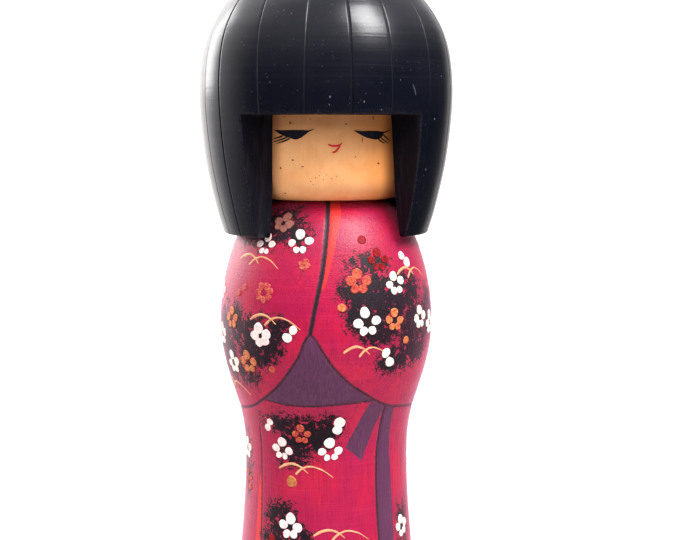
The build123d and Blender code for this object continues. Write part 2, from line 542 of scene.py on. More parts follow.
# Sponged patches: angle, height, half width and half height in mm
PATCHES = [
    (-26, 171, 10, 7), (-13, 167, 6, 5), (-34, 165, 6, 4), (-47, 167, 9, 5),
    (-33, 129, 12, 11), (-50, 134, 8, 9), (-62, 126, 10, 16), (-44, 117, 9, 6), (-20, 134, 6, 6),
    (34, 141, 13, 14), (30, 157, 9, 5), (52, 147, 11, 8), (60, 131, 11, 13), (45, 122, 10, 6),
    (20, 148, 6, 6), (22, 138, 6, 6), (76, 138, 7, 12),
    (-9, 95, 13, 8), (-28, 99, 8, 4.5), (6, 97.5, 7, 6), (-18, 87, 9, 5),
    (-27, 62, 8, 8), (-32, 52, 7, 9), (-15, 55, 7, 8), (-66, 80, 4.5, 15), (69, 57, 6, 10),
    (22, 30, 11, 9), (34, 23, 7, 6), (12, 24, 6, 5), (-30, 14, 9, 7), (-21, 10, 6, 5), (80, 20, 10, 8),
    (105, 152, 9, 8), (112, 143, 7, 7), (-104, 148, 9, 9), (-97, 138, 6, 6),
    (140, 143, 12, 11), (158, 138, 11, 9), (150, 128, 10, 7), (128, 136, 7, 8),
    (180, 167, 12, 6), (192, 162, 7, 5), (-150, 148, 12, 9), (-134, 142, 10, 11), (-158, 138, 7, 6),
    (-140, 130, 8, 6), (100, 118, 8, 6), (-110, 116, 9, 6),
    (110, 86, 12, 8), (122, 79, 8, 8), (100, 78, 7, 5), (172, 70, 10, 8), (184, 76, 9, 7), (180, 62, 7, 5),
    (-122, 80, 11, 8), (-110, 72, 8, 8), (-130, 70, 7, 6), (140, 38, 10, 9), (150, 30, 7, 6), (130, 31, 6, 6),
    (-157, 34, 10, 8), (-145, 28, 8, 7), (-165, 26, 6, 5), (-95, 31, 9, 8), (-86, 24, 6, 5),
]


def away(angle, others):
    """Degrees from angle to others, the short way round."""
    return (np.asarray(others) - angle + 180) % 360 - 180


def path_distance(angles, heights, radius, path):
    """Distance in mm from each point of the kimono to a path of (angle, height) points."""
    nearest = np.full(np.broadcast(angles, heights).shape, 1e3)
    for (a, h), (b, k) in zip(path[:-1], path[1:]):
        x = np.radians(away(angles, a)) * radius
        y = h - heights
        dx = math.radians(b - a) * radius
        dy = k - h
        share = np.clip(-(x * dx + y * dy) / (dx * dx + dy * dy + 1e-9), 0, 1)
        nearest = np.minimum(nearest, np.hypot(x + share * dx, y + share * dy))
    return nearest


def area_depth(angles, heights, radius, border):
    """How many mm each point lies inside a closed border, or minus how many it lies outside."""
    border = np.asarray(border, float)
    middle = border[:, 0].mean()
    x = away(middle, angles)
    inside = np.zeros(np.broadcast(angles, heights).shape, bool)
    for (a, h), (b, k) in zip(border, np.roll(border, -1, axis=0)):
        crosses = (h > heights) != (k > heights)
        at = (b - a) * (heights - h) / (k - h if k != h else 1e-9) + a - middle
        inside ^= crosses & (x < at)
    distance = path_distance(angles, heights, radius, np.vstack([border, border[:1]]))
    return np.where(inside, distance, -distance)


def areas_depth(spots, borders):
    """The same for several areas of one colour."""
    return np.maximum.reduce([area_depth(*spots, border) for border in borders])


def sponge_depth(angles, heights, radius):
    """How many mm each point lies inside the sponged patches."""
    depth = np.full(np.broadcast(angles, heights).shape, -12.0)
    for angle, height, half_width, half_height in PATCHES:
        x = np.radians(away(angle, angles)) * radius / half_width
        y = (heights - height) / half_height
        depth = np.maximum(depth, (1 - np.hypot(x, y)) * min(half_width, half_height))
    return depth


def kimono_angles(count, crowding=0.35):
    """Angles once round, set closer together at the front, where most of the painting is."""
    even = np.linspace(-np.pi, np.pi, count, endpoint=False)
    return np.degrees(even - crowding * np.sin(even))


def make_kimono(material):
    """The body in two meshes, which meet unseen at the dividing level."""
    angles = kimono_angles(480)
    foot = np.vstack([
        line((0.0, 0.0), (FOOT_RADIUS - BASE_ROUND - 0.2, 0.0), 12)[1:],
        arc((FOOT_RADIUS - 0.1 - BASE_ROUND, BASE_ROUND), BASE_ROUND, -85, 0, 6),
    ])
    first, middle = np.searchsorted(BODY_SIDE[:, 1], [BASE_ROUND, DIVIDE])
    lower = smooth_outline(BODY_SIDE[first:middle], 0.54)
    upper = smooth_outline(BODY_SIDE[middle - 1:], 0.45)
    socket = PEG_RADIUS + RUNNING_GAP
    top = np.vstack([
        line((NECK_RADIUS, BODY_TOP), (socket, BODY_TOP), 8)[1:],
        line((socket, BODY_TOP), (socket, PEG_FOOT), 4)[1:],
    ])
    outline = np.vstack([foot, lower[:-1], upper, top])
    seam_row = len(foot) + len(lower) - 1
    radius, height = outline[:, :1], outline[:, 1:]
    side = np.zeros(len(outline), bool)
    side[len(foot):len(outline) - len(top)] = True

    spots = (angles[None, :], height, radius)
    scratch = np.full((len(outline), len(angles)), 1e3)
    cut = np.zeros_like(scratch)
    for path, half_width in SCRATCHES:
        distance = path_distance(*spots, path)
        scratch = np.minimum(scratch, distance - half_width)
        cut = np.maximum(cut, 0.4 * half_width * np.exp(-((distance / half_width) ** 2)))
    cut[~side] = 0
    underneath = height < 0.3
    in_socket = (height < BODY_TOP - 5) & (radius < 10)
    fields = {
        "line": scratch,
        "plum": areas_depth(spots, [UNDER_KIMONO, HANGING_RIBBON, SIDE_BAND]),
        "orange": areas_depth(spots, [COLLAR_EDGE, LINING_EDGE]),
        "sponge": sponge_depth(*spots),
        "bare": np.broadcast_to(underneath | in_socket, scratch.shape).astype(float),
    }
    points = around(radius - cut, angles[None, :] + KIMONO_TURN, height)

    pieces = []
    normals = body_normals(points)
    for name, rows in (
        ("kimono_skirt", slice(0, seam_row + 1)), ("kimono_top", slice(seam_row, len(outline))),
    ):
        piece = make_object(name, *closed_rings(points[rows], *outline[rows][[0, -1], 1]), [material])
        for field, values in fields.items():
            values = values[rows]
            add_field(piece, field, np.r_[values.ravel(), values[0].mean(), values[-1].mean()])
        wanted = np.vstack([normals[rows].reshape(-1, 3), [(0, 0, -1), (0, 0, 1)]])
        piece.data.normals_split_custom_set_from_vertices(wanted.tolist())
        pieces.append(piece)
    return pieces


def body_normals(points):
    """Normals of the whole body, which both meshes get so that no edge shows where they meet."""
    along = np.gradient(points, axis=0)
    girthwise = (np.roll(points, -1, axis=1) - np.roll(points, 1, axis=1)) / 2
    normals = np.cross(girthwise, along)
    return normals / (np.linalg.norm(normals, axis=2, keepdims=True) + 1e-12)


# =====================================================================
# Dabs and strokes of thick paint
# =====================================================================

class Relief:
    """Collects raised paint on one surface into a single mesh."""

    def __init__(self, surface):
        self.surface = surface
        self.points = []
        self.faces = []

    def collect(self, points, faces):
        """Adds one closed shape, whose faces count from its own first point."""
        start = sum(map(len, self.points))
        self.points.append(points)
        self.faces += [[start + k for k in face] for face in faces]

    def ribbon(self, angle, height, spots, lifts, flip):
        """Adds a closed ribbon, whose cross sections are the rows of (across, up) spots."""
        grid = self.surface.place(angle, height, spots[..., 0], spots[..., 1], lifts)
        rows, columns = grid.shape[:2]
        end = rows * columns
        faces = ring_faces(rows, columns).tolist()
        faces += [list(range(columns))[::-1], list(range(end - columns, end))]
        self.collect(grid.reshape(-1, 3), [face[::-1] for face in faces] if flip else faces)

    def dab(self, angle, height, across, up, half_width, half_height, lean=0.0, thick=0.28):
        """A rounded blob, centred across and up in mm from (angle, height), leaning by degrees."""
        rings, spokes = 7, 28
        share = np.array([0.3, 0.55, 0.75, 0.88, 0.96, 1.0, 1.02])[:, None]
        lift = thick * np.array([0.80, 0.86, 0.97, 1.0, 0.72, 0.15, -0.5])[:, None]
        turn = np.linspace(0, 2 * np.pi, spokes, endpoint=False)[None, :]
        phase = random.uniform(0, 2 * np.pi, 3)
        uneven = 1 + 0.045 * np.sin(2 * turn + phase[0]) + 0.035 * np.sin(3 * turn + phase[1])
        uneven = uneven + 0.015 * np.sin(5 * turn + phase[2])
        x = half_width * share * np.cos(turn) * uneven
        y = half_height * share * np.sin(turn) * uneven
        tilt = math.radians(lean)
        u = across + x * math.cos(tilt) - y * math.sin(tilt)
        v = up + x * math.sin(tilt) + y * math.cos(tilt)
        grid = self.surface.place(angle, height, u, v, lift)
        middle = self.surface.place(angle, height, across, up, thick * np.array([0.78, -0.5]))
        faces = ring_faces(rings, spokes)[:, ::-1].tolist()
        peak = rings * spokes
        edge = peak - spokes
        for k in range(spokes):
            after = (k + 1) % spokes
            faces.append((peak, k, after))
            faces.append((peak + 1, edge + after, edge + k))
        self.collect(np.vstack([grid.reshape(-1, 3), middle]), faces)

    def stroke(self, angle, height, path, widths, thick=0.16, step=0.35):
        """A brush stroke along (across, up) points in mm, with half widths given along it."""
        way = smooth_outline(path, step)
        share = np.linspace(0, 1, len(way))
        half = np.interp(share, np.linspace(0, 1, len(widths)), widths)
        half = half * (1 + 0.05 * np.sin(share * 23 + random.uniform(0, 6)))
        ahead = np.gradient(way, axis=0)
        ahead /= np.linalg.norm(ahead, axis=1, keepdims=True)
        sideways = np.stack([-ahead[:, 1], ahead[:, 0]], 1)
        from_end = np.minimum(np.arange(len(way)), np.arange(len(way))[::-1]) * step
        ends = np.minimum(1, from_end / np.maximum(half, 0.2))
        half = half * np.sqrt(1 - (1 - ends) ** 2) + 0.03
        offsets = np.array([-1.02, -1.0, -0.7, 0.0, 0.7, 1.0, 1.02])
        lifts = np.array([-0.5, 0.1, 0.8, 1.0, 0.8, 0.1, -0.5]) * thick
        lifts = lifts[None, :] * (0.4 + 0.6 * ends[:, None])
        spots = way[:, None, :] + sideways[:, None, :] * (half[:, None] * offsets[None, :])[:, :, None]
        self.ribbon(angle, height, spots, lifts, flip=True)

    def blade(self, angle, height, upper, lower, thick=0.12, step=0.3):
        """A painted shape between two edges that share their ends, both (across, up) in mm."""
        top = smooth_outline(upper, step)
        share = np.linspace(0, 1, len(top))
        under = smooth_outline(lower, step)
        under = np.stack([
            np.interp(share, np.linspace(0, 1, len(under)), under[:, k]) for k in range(2)
        ], 1)
        across = np.array([-0.01, 0.0, 0.12, 0.35, 0.65, 0.88, 1.0, 1.01])
        lifts = np.array([-0.5, 0.1, 0.8, 1.0, 1.0, 0.8, 0.1, -0.5]) * thick
        spots = top[:, None, :] * (1 - across[None, :, None]) + under[:, None, :] * across[None, :, None]
        tip = np.minimum(1, np.minimum(share, 1 - share) / 0.06)[:, None]
        self.ribbon(angle, height, spots, lifts[None, :] * (0.3 + 0.7 * tip), flip=False)

    def build(self, name, material):
        """The mesh object that holds every shape collected."""
        return make_object(name, np.vstack(self.points), self.faces, [material])


# Where the dabs of a blossom of five lie: three above, and two closer together below
FIVE = (95, 175, 10, 240, 302)

# Blossoms: colour, angle, height, ring radius, dab radius, tilt in degrees, and where they aren't
# the usual, how many dabs and the droop
BLOSSOMS = [
    # chest and sleeves, seen from the front
    ("faded_brown", -24.7, 171.4, 2.6, 1.65, -18),
    ("pink", -33.6, 163.5, 3.0, 1.5, -4, 5, 0.2),
    ("white", -10.2, 164.8, 3.4, 1.6, 0, 5, 0.18),
    ("faded", -6.6, 157.2, 1.3, 1.0, -18),
    ("faded", -29.1, 146.8, 2.6, 1.3, 15, 7),
    ("orange", -53.6, 136.2, 2.8, 1.5, 4),
    ("pink", -72.5, 145, 2.6, 1.4, 0),
    ("pink", -68, 129, 2.8, 1.5, 5),
    ("pink", -30.3, 131.6, 2.6, 1.7, 12, 5, 0.06),
    ("white", -56.2, 119.3, 3.0, 1.55, 8),
    ("orange", -40.7, 120.9, 2.8, 1.6, 2),
    ("red", 36.6, 158.4, 2.9, 1.5, -2),
    ("orange_red", 23.1, 151.2, 3.1, 1.85, -2),
    ("white", 45.9, 149.8, 3.0, 1.55, 6),
    ("white", 26.7, 136.9, 3.7, 1.75, 4),
    ("orange", 43.3, 136.8, 2.8, 1.5, -3),
    ("white", 64.6, 136.3, 3.0, 1.6, 0),
    ("white", 79, 133, 3.0, 1.6, 5),
    # skirt, seen from the front
    ("orange_red", -10.8, 94.9, 2.5, 1.3, 3),
    ("pink", -25.4, 88.4, 3.1, 1.65, -9, 5, 0.2),
    ("white", 8.2, 88.8, 3.3, 1.8, 2, 5, 0.24),
    ("pink", -19.2, 60.0, 3.1, 1.8, -2),
    ("white", 67.6, 56, 2.9, 1.55, 5),
    ("white", -67, 85, 2.8, 1.5, 3),
    ("orange_red", -64, 74, 2.2, 1.1, 0, 3),
    ("red", -33, 52, 2.6, 1.4, -2),
    ("white", 22, 31, 3.3, 1.8, -15),
    ("orange", 33, 24, 2.8, 1.5, 2),
    ("white", -30, 15, 3.1, 1.7, 12),
    ("orange", 80, 22, 2.9, 1.5, -8),
    ("pink", 12, 24, 2.7, 1.5, -12), ("orange_red", -21, 9.5, 2.5, 1.4, -22),
    # back
    ("white", 104, 153, 3.1, 1.7, -12), ("orange", 113, 144, 2.7, 1.5, 8),
    ("white", -106, 150, 3.1, 1.7, -2), ("orange", -97, 139.5, 2.7, 1.5, -18),
    ("white", 145, 149, 3.2, 1.7, 18), ("pink", 159, 139, 2.9, 1.6, -8),
    ("orange", 137, 138, 2.8, 1.5, -22), ("white", 150, 127.5, 3.1, 1.7, 5),
    ("orange_red", 127, 132, 2.6, 1.4, -12),
    ("faded_brown", 177, 168, 2.7, 1.5, 10), ("pink", 189, 162.5, 2.9, 1.6, -18),
    ("white", -152, 150.5, 3.2, 1.7, -5), ("orange", -138, 147, 2.8, 1.5, 20),
    ("pink", -146, 137, 2.9, 1.6, 0), ("white", -132, 134, 3.1, 1.7, -15),
    ("red", -161, 140.5, 2.6, 1.4, 15), ("faded", 168, 114, 2.6, 1.3, 30, 6),
    ("white", 100, 118.5, 3.0, 1.6, -22), ("pink", -110, 116, 2.8, 1.5, 2),
    ("white", 106, 87.5, 3.1, 1.7, -12), ("orange_red", 118, 84, 2.7, 1.4, 8),
    ("pink", 122, 75.5, 2.8, 1.5, -5), ("pink", 169, 71, 2.9, 1.6, -18),
    ("white", 184, 77, 3.1, 1.7, 18), ("orange", 180, 62.5, 2.7, 1.4, -8),
    ("white", -124, 82, 3.1, 1.7, -22), ("orange_red", -111, 74.5, 2.8, 1.5, 5),
    ("pink", -129, 70.5, 2.8, 1.5, -12), ("white", 139, 40, 3.1, 1.7, 10),
    ("orange", 150, 30.5, 2.7, 1.4, -18), ("pink", 129, 31, 2.7, 1.4, -5),
    ("white", -158, 35.5, 3.1, 1.7, 20), ("orange", -145, 28.5, 2.8, 1.5, 0),
    ("faded", -166, 25, 2.3, 1.2, -22), ("white", -96, 32, 3.1, 1.7, -15),
    ("orange", -86, 24.5, 2.6, 1.4, 15),
]

# Single dabs: colour, angle, height, dab radius
LOOSE_DABS = [
    ("faded", -48.4, 145.9, 1.25), ("faded", -44, 148.2, 1.1),
    ("white", -11.4, 134.4, 1.5), ("white", -14.6, 131.6, 1.7),
    ("orange_red", -24.5, 119.5, 1.2),
    ("red", 27.9, 165.8, 1.6), ("white", 54.9, 159.4, 1.5), ("white", 58.6, 156.9, 1.75),
    ("orange", 13.5, 142.5, 1.5), ("orange", 51.4, 129.2, 1.35),
    ("white", 38.0, 125.4, 1.7), ("white", 41.0, 121.9, 1.8),
    ("pink", -33.6, 98.5, 1.35), ("pink", -36.2, 96.2, 1.35),
    ("white", 13.8, 99.8, 2.0), ("white", 12.6, 97.0, 1.7),
    ("faded_gold", -18.6, 76.9, 2.0), ("orange_red", -61, 70.5, 1.3),
    ("white", 96, 145, 1.6), ("white", 98.5, 142.5, 1.5), ("white", 166, 148, 1.6),
    ("white", 169, 145.6, 1.5), ("orange", 140, 124, 1.3), ("pink", -124, 146, 1.5),
    ("pink", -121, 148, 1.4), ("faded_gold", 176, 92, 1.9), ("orange", -168, 66, 1.4),
    ("white", 97, 77, 1.5), ("white", 94.5, 79.4, 1.6), ("orange_red", -140, 78, 1.4),
    ("white", 120, 38, 1.6), ("faded", -176, 38, 1.2),
]

# Pairs of grass blades: angle and height of the left end, then size (1 is 21 mm across)
GRASS = [
    (-54.4, 157.7, 1.0), (-37.5, 136.9, 1.0), (48.0, 152.9, 0.85), (14.1, 126.2, 0.85),
    (-28.5, 81.3, 1.0), (-3.2, 57.4, 1.0), (-79, 110.0, 1.0), (30, 38, 1.0), (-24, 22, 1.0),
    (94, 161, 1.0), (128, 153, 1.0), (156, 121, 1.0), (-172, 152, 1.0), (-128, 155, 1.0), (-150, 123, 0.9),
    (100, 68, 1.0), (160, 85, 1.0), (-146, 89, 1.0), (-112, 60, 1.0), (126, 22, 1.0), (-172, 46, 1.0),
    (-100, 16, 0.9), (60, 8, 0.9),
]


def blossom(relief, angle, height, ring, dab, tilt, count=5, droop=0.12):
    """Dabs in a ring round an open middle. droop makes the lower ones smaller and closer in."""
    directions = FIVE if count == 5 else [k * 360 / count for k in range(count)]
    for degrees in directions:
        direction = math.radians(degrees + tilt + random.uniform(-7, 7))
        smaller = 1 - droop * (1 - math.sin(direction))
        reach = ring * (1 + smaller) / 2 * random.uniform(0.96, 1.06)
        size = 1.08 * dab * smaller * random.uniform(0.94, 1.06)
        relief.dab(
            angle, height, reach * math.cos(direction), reach * math.sin(direction),
            size * random.uniform(1.0, 1.12), size, lean=math.degrees(direction),
        )


def grass(relief, angle, height, size):
    """Two arched blades that cross, each thick at its foot and thin at its tip."""
    girth = size * 0.62
    first = [(0, 0), (4 * girth, 1.5), (9 * girth, 2.3), (14 * girth, 1.5), (19 * girth, -0.9)]
    second = [
        (11 * girth, -1.6), (15 * girth, 0.7), (19.5 * girth, 1.7), (26 * girth, 0.9), (34 * girth, -2.3),
    ]
    relief.stroke(angle, height, first, [0.34, 0.5, 0.42, 0.24, 0.1])
    relief.stroke(angle, height, second, [0.4, 0.36, 0.26, 0.17, 0.07])


PAINTS = {
    "white": dict(main=rgb(250, 246, 236), other=rgb(240, 228, 214)),
    "pink": dict(main=rgb(250, 236, 230), other=rgb(244, 206, 204)),
    "orange": dict(main=rgb(214, 138, 84), other=rgb(198, 98, 58), size=0.9, flecks=0.25),
    "orange_red": dict(main=rgb(202, 98, 60), other=rgb(174, 52, 42), rough=0.5, size=0.8, flecks=0.3),
    "red": dict(main=rgb(150, 30, 30), other=rgb(112, 18, 26), rough=0.55, flecks=0.25, gloss=0.1),
    "faded": dict(main=rgb(196, 108, 78), other=rgb(186, 66, 62), flecks=0.5),
    "faded_brown": dict(main=rgb(168, 112, 96), other=rgb(140, 84, 80), flecks=0.1),
    "faded_gold": dict(main=rgb(196, 132, 66), other=rgb(168, 92, 60), flecks=0.2),
}


def make_blossoms():
    """All the paint dabbed on the kimono, one mesh for each colour, and the gold grass."""
    reliefs = {colour: Relief(KIMONO) for colour in PAINTS}
    for colour, *place_and_size in BLOSSOMS:
        blossom(reliefs[colour], *place_and_size)
    for colour, angle, height, size in LOOSE_DABS:
        reliefs[colour].dab(angle, height, 0, 0, size * 1.06, size, lean=random.uniform(0, 180))
    pieces = [
        reliefs[colour].build("petals_" + colour, dab_finish("paint_" + colour, **tones))
        for colour, tones in PAINTS.items()
    ]
    blades = Relief(KIMONO)
    for angle, height, size in GRASS:
        grass(blades, angle, height, size)
    gold = dab_finish("paint_gold", rgb(222, 172, 122), rgb(210, 146, 108), rough=0.35, size=2.5)
    return pieces + [blades.build("grass_gold", gold)]


# =====================================================================
# Head and face
# =====================================================================

def make_head():
    """The face block, with its bore for the peg."""
    bore = PEG_RADIUS + RUNNING_GAP
    bore_end = PEG_TIP + 1
    outline = np.vstack([
        line((0, bore_end), (bore, bore_end), 2),
        line((bore, bore_end), (bore, CHIN), 6)[1:],
        line((bore, CHIN), (HEAD_RADIUS - CHIN_ROUND, CHIN), 8)[1:],
        arc((HEAD_RADIUS - CHIN_ROUND, CHIN + CHIN_ROUND), CHIN_ROUND, -90, 0, 24)[1:],
        line((HEAD_RADIUS, CHIN + CHIN_ROUND), (HEAD_RADIUS, HEAD_TOP), 60)[1:],
        line((HEAD_RADIUS, HEAD_TOP), (0, HEAD_TOP), 8)[1:],
    ])
    return turned("face_block", outline, 288, face_finish())


# Each shape is in mm across and up from (angle, height below the bangs). Edges run left to right.
EYES = [
    dict(
        angle=-25, drop=5.4,
        upper=[(-7.5, 0.1), (-5.5, -0.2), (-1.0, -0.2), (2.5, -0.2), (5.9, -0.3)],
        lower=[(-7.5, 0.1), (-4.2, -1.6), (-1.9, -2.3), (1.2, -3.0), (2.7, -2.5), (4.3, -1.5), (5.9, -0.3)],
        flick=[(5.0, -0.5), (6.6, 0.0), (7.7, 0.4)],
        lashes=[
            [(-3.9, -2.0), (-6.0, -2.6), (-8.3, -3.1)],
            [(-2.2, -2.4), (-5.2, -3.4), (-8.3, -4.2)],
            [(-1.2, -2.9), (-4.0, -4.0), (-6.9, -4.7)],
        ],
    ),
    dict(
        angle=26, drop=5.8,
        upper=[(-7.5, 0.3), (-5.9, 0.0), (-0.8, -0.1), (2.0, -0.15), (4.8, -0.4)],
        lower=[(-7.5, 0.3), (-5.6, -0.7), (-3.5, -1.7), (-0.8, -2.4), (1.2, -2.7), (2.4, -2.5),
               (3.7, -1.8), (4.8, -0.4)],
        flick=[(4.5, -0.5), (6.4, 0.0), (8.2, 0.7)],
        lashes=[
            [(4.5, -1.3), (6.4, -2.5), (8.3, -3.5)],
            [(3.4, -2.2), (5.3, -3.4), (7.2, -4.3)],
            [(2.2, -2.7), (3.8, -3.7), (5.4, -4.4)],
        ],
    ),
]
SMILE = dict(
    angle=1, drop=10.7,
    upper=[(-2.5, 0.4), (-1.5, -0.05), (-0.2, -0.25), (1.1, -0.1), (1.95, 0.2), (2.5, 0.9)],
    lower=[(1.8, -0.1), (1.5, -0.65), (0.9, -1.45), (0.15, -2.2), (-0.5, -2.5), (-1.1, -2.35)],
)

# Dark pin knots and two short splits in the face wood: angle, height, half width and half height in mm
KNOTS = [
    (-27, 207.2, 0.28, 0.4), (8, 206.7, 0.32, 0.2), (-25.4, 194.1, 0.36, 0.24), (-33.7, 191.2, 0.3, 0.34),
    (30, 192.8, 0.42, 0.3), (-33, 182.2, 0.34, 0.26), (26, 209.0, 0.24, 0.7), (18.5, 201.2, 0.14, 0.9),
    (14, 195.2, 0.26, 0.16), (-19, 191.8, 0.4, 0.14), (-31, 209.3, 0.2, 0.16), (-14, 208.4, 0.16, 0.16),
    (-14, 186.6, 0.16, 0.2), (-11, 187.9, 0.14, 0.16), (-8.5, 188.6, 0.16, 0.14), (-6, 187.2, 0.14, 0.2),
    (-4, 189.0, 0.14, 0.14), (-1, 187.6, 0.2, 0.14), (2, 188.4, 0.14, 0.14), (-12.5, 185.4, 0.14, 0.14),
]


def make_features():
    """Closed eyes with lashes, and a small smiling mouth, brushed on the wood."""
    ink = Relief(FACE)
    rim = Relief(FACE)
    for eye in EYES:
        place = (eye["angle"], BANGS - eye["drop"])
        ink.blade(*place, eye["upper"], eye["lower"])
        rim.stroke(*place, eye["upper"], [0.1, 0.2, 0.22, 0.16], thick=0.2)
        rim.stroke(*place, eye["lower"], [0.1, 0.18, 0.24, 0.2, 0.12], thick=0.2)
        rim.stroke(*place, eye["flick"], [0.26, 0.2, 0.07], thick=0.16)
        for lash in eye["lashes"]:
            rim.stroke(*place, lash, [0.3, 0.26, 0.1], thick=0.14)
    lips = Relief(FACE)
    place = (SMILE["angle"], BANGS - SMILE["drop"])
    lips.stroke(*place, SMILE["upper"], [0.2, 0.36, 0.36, 0.32, 0.18])
    lips.stroke(*place, SMILE["lower"], [0.24, 0.32, 0.34, 0.32, 0.18], thick=0.18)
    lid = dab_finish("ink_blue", rgb(18, 20, 34), rgb(30, 32, 48), rough=0.38)
    black = dab_finish("ink_black", rgb(12, 10, 14), rgb(28, 22, 26), rough=0.35)
    red = dab_finish("lip_red", rgb(224, 42, 48), rgb(204, 28, 36), rough=0.38)
    knots = Relief(FACE)
    for angle, height, half_width, half_height in KNOTS:
        knots.dab(angle, height, 0, 0, 1.15 * half_width, 1.15 * half_height, thick=0.02)
    brown = grained_finish("pin_knots", rgb(104, 60, 34), rgb(60, 32, 18))
    return [
        ink.build("eyelids", lid), rim.build("eye_lines_and_lashes", black), lips.build("mouth", red),
        knots.build("pin_knots", brown),
    ]


def make_peg():
    """The dowel that the head turns on, chamfered at both ends."""
    tip = 1.0
    outline = [
        (0, PEG_FOOT), (PEG_RADIUS - tip, PEG_FOOT), (PEG_RADIUS, PEG_FOOT + tip),
        (PEG_RADIUS, PEG_TIP - tip), (PEG_RADIUS - tip, PEG_TIP), (0, PEG_TIP),
    ]
    finish = grained_finish("peg_wood", rgb(206, 168, 118), rgb(180, 138, 90))
    return turned("peg", outline, 96, finish, start=0)


# =====================================================================
# Hair
# =====================================================================
# A hood with a window sawn out of it for the face. Outline points are (radius, height).

HAIR_SIDE = smooth_outline(
    [
        (38.45, RIM), (40.95, 174.3), (42.1, 178.9), (43.2, 183.5), (45.05, 192.6), (46.2, 200.6),
        (47.1, 209.4), (47.5, 217), (47.1, 226.5), (46.0, 234.1), (45.0, 237.9), (43.6, 241.7),
        (41.7, 245.4), (39.0, 249.6), (36.3, 252.9), (32.5, 256), (27, 259), (14, 262), (0, CROWN),
    ],
    0.1,
)
HAIR_RADIUS = 47.0

# Carved lines: angle at the bangs, angle near the crown, and depth as a share of HAIR_LINE_DEPTH.
# The last ten run round the sides and the back.
HAIR_LINES = [
    (-71, -71, 0.35), (-57, -58.7, 0.75), (-34.4, -37.8, 0.8), (-13.3, -12.5, 0.8), (6.3, 5.9, 1.35),
    (24.5, 23.9, 1.1), (46.4, 46.9, 0.8), (68.5, 68.5, 0.7),
    (89, 88, 1.0), (108, 109, 0.9), (127, 126, 1.1), (147, 148, 0.9), (166, 165, 1.0),
    (-175, -174, 1.0), (-155, -156, 0.9), (-136, -135, 1.1), (-115, -116, 1.0), (-93, -92, 0.9),
]
HAIR_LINE_DEPTH = 0.3
HAIR_LINE_HALF_WIDTH = 0.5
BESIDE_LINE = np.array([0.0, 0.16, 0.32, 0.5, 0.75])
LINE_BESIDE_WINDOW = HAIR_LINES[6][0]
# How wide the painted shade along each carved line spreads, in mm
GROOVE_SHADE_HALF_WIDTH = 0.24

# The window's sawn sides at the bangs, and how the angles outside and inside run from rim to bangs
LEFT_CUT, LEFT_OUTSIDE, LEFT_INSIDE = -43.4, (-44.8, -43.4), (-40.2, -39.6)
RIGHT_CUT, RIGHT_OUTSIDE, RIGHT_INSIDE = 40.4, (43.2, 40.4), (47.0, 40.6)
# Columns further round than this aren't bent by the sawn sides, outside and inside
FREE_OUTSIDE, FREE_INSIDE = 60, 75
PAST_BACK = 190

EDGE_ROUND = 0.3
RIM_ROUND = 1.1
RIM_INNER_ROUND = 0.6
COLUMN_DEGREES = 1.15
ROW_STEP = 1.2
BESIDE_EDGE = np.array([0.0, 0.03, 0.09, 0.18, EDGE_ROUND])
# Steps through the wood from the bore to the outside
THROUGH = np.array([0, 0.02, 0.07, 0.15, 0.3, 0.45, 0.6, 0.72, 0.82, 0.9, 0.96, 1.0])


def mm_round(angle):
    """An angle as mm round the hair."""
    return np.radians(angle) * HAIR_RADIUS


def hair_columns():
    """Angles of the mesh's columns, close together beside each carved line and sawn edge."""
    degree = np.degrees(1 / HAIR_RADIUS)
    marks = [LEFT_CUT - BESIDE_EDGE * degree, RIGHT_CUT + BESIDE_EDGE * degree]
    for angle, _, _ in HAIR_LINES:
        marks += [angle - BESIDE_LINE * degree, angle + BESIDE_LINE[1:] * degree]
    marks = np.sort(np.concatenate(marks))
    filled = []
    for here, after in zip(marks, np.r_[marks[1:], marks[0] + 360]):
        steps = max(1, int(np.ceil((after - here) / COLUMN_DEGREES)))
        filled += [here + (after - here) * k / steps for k in range(steps)]
    return np.array(filled)


def bent_columns(columns, radius, share):
    """The columns at one height above the bangs: carved lines keep their width and lean a little."""
    lines = sorted(HAIR_LINES)
    known, wanted = [], []
    for turn in (-360, 0, 360):
        for at_bangs, at_crown, _ in lines:
            middle = at_bangs + (at_crown - at_bangs) * share + turn
            for beside in (*-BESIDE_LINE[:0:-1], *BESIDE_LINE):
                known.append(at_bangs + turn + np.degrees(beside / HAIR_RADIUS))
                wanted.append(middle + np.degrees(beside / max(radius, 6.0)))
    return np.interp(columns, known, wanted)


def rounding(distance, radius):
    """How far a rounded edge has dropped at this distance from where it ends."""
    left = np.clip(radius - distance, 0, radius)
    return radius - np.sqrt(radius**2 - left**2)


def bore_radius(height):
    """The hood's inside, which flares from the chin down to the rim."""
    return np.interp(height, [RIM, CHIN], [RIM_BORE_RADIUS, BORE_RADIUS])


def bore_angles(columns, height):
    """Where the columns lie inside the bore, so that the window's sides slant as they were sawn."""
    left = np.interp(height, [RIM, BANGS], LEFT_INSIDE)
    right = np.interp(height, [RIM, BANGS], RIGHT_INSIDE)
    known = [-PAST_BACK, -FREE_INSIDE, LEFT_CUT, RIGHT_CUT, FREE_INSIDE, PAST_BACK]
    wanted = [-PAST_BACK, -FREE_INSIDE, left, right, FREE_INSIDE, PAST_BACK]
    return np.interp(columns, known, wanted)


